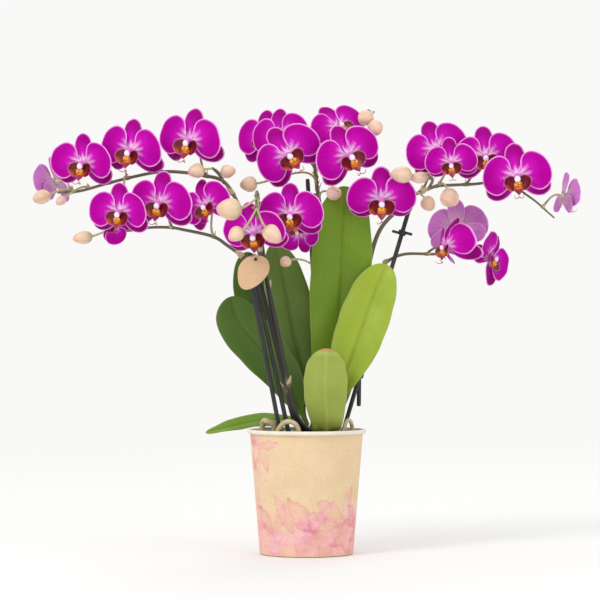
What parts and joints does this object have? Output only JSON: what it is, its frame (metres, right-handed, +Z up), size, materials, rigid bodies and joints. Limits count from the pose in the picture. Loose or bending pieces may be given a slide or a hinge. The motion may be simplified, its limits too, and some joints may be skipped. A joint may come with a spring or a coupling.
{
  "type": "potted orchid",
  "caption": "Potted moth orchid with arching spikes of magenta flowers and pale buds, strap leaves, black stakes and a round tag, in a kraft paper cup with a rolled rim",
  "frame": {"origin": "centre of the pot's flat base", "axes": "+Z up, -Y front, +X right seen from the front"},
  "size_m": [0.4932, 0.176, 0.4062],
  "materials": {
    "kraft_paper": "matte kraft paper",
    "clear_plastic": "clear thin plastic",
    "pine_bark": "rough",
    "spike_green": "satin, living stem",
    "spike_dark": "satin, living stem",
    "leaf_green": "waxy satin",
    "leaf_yellow_green": "waxy satin",
    "root_pale": "matte",
    "black_plastic": "satin black",
    "tag_card": "matte kraft card",
    "petal_magenta": "soft satin petal"
  },
  "bodies": {
    "root": {"cover_pot": "kraft_paper", "grow_pot": "clear_plastic", "bark_mix": "pine_bark", "crown_stem": "leaf_yellow_green", "leaf_centre": "leaf_green", "leaf_right": "leaf_yellow_green", "leaf_front": "leaf_yellow_green", "leaf_left_centre": "leaf_green", "leaf_left_inner": "leaf_green", "leaf_left_outer": "leaf_green", "leaf_low_left": "leaf_green", "root_arch": "root_pale", "root_left": "root_pale", "root_right": "root_pale", "stake_left_outer": "black_plastic", "stake_left_inner": "black_plastic", "stake_centre": "black_plastic", "stake_right": "black_plastic", "stake_short": "black_plastic", "clip_right": "black_plastic", "clip_centre": "black_plastic", "clip_low": "black_plastic", "clip_left": "black_plastic", "tag": "tag_card", "spike_upper_left": "spike_dark", "spike_lower_left": "spike_dark", "spike_front": "spike_green", "spike_centre": "spike_green", "spike_right": "spike_green", "spike_back_right": "spike_green", "flower_01": "petal_magenta", "flower_02": "petal_magenta", "flower_03": "petal_magenta", "flower_04": "petal_magenta", "flower_05": "petal_magenta", "flower_06": "petal_magenta", "flower_07": "petal_magenta", "flower_08": "petal_magenta", "flower_09": "petal_magenta", "flower_10": "petal_magenta", "flower_11": "petal_magenta", "flower_12": "petal_magenta", "flower_13": "petal_magenta", "flower_14": "petal_magenta", "flower_15": "petal_magenta", "flower_16": "petal_magenta", "flower_17": "petal_magenta", "flower_18": "petal_magenta", "flower_19": "petal_magenta", "flower_20": "petal_magenta", "flower_21": "petal_magenta", "flower_22": "petal_magenta", "flower_23": "petal_magenta", "flower_24": "petal_magenta", "flower_25": "petal_magenta"}
  },
  "joints": []
}
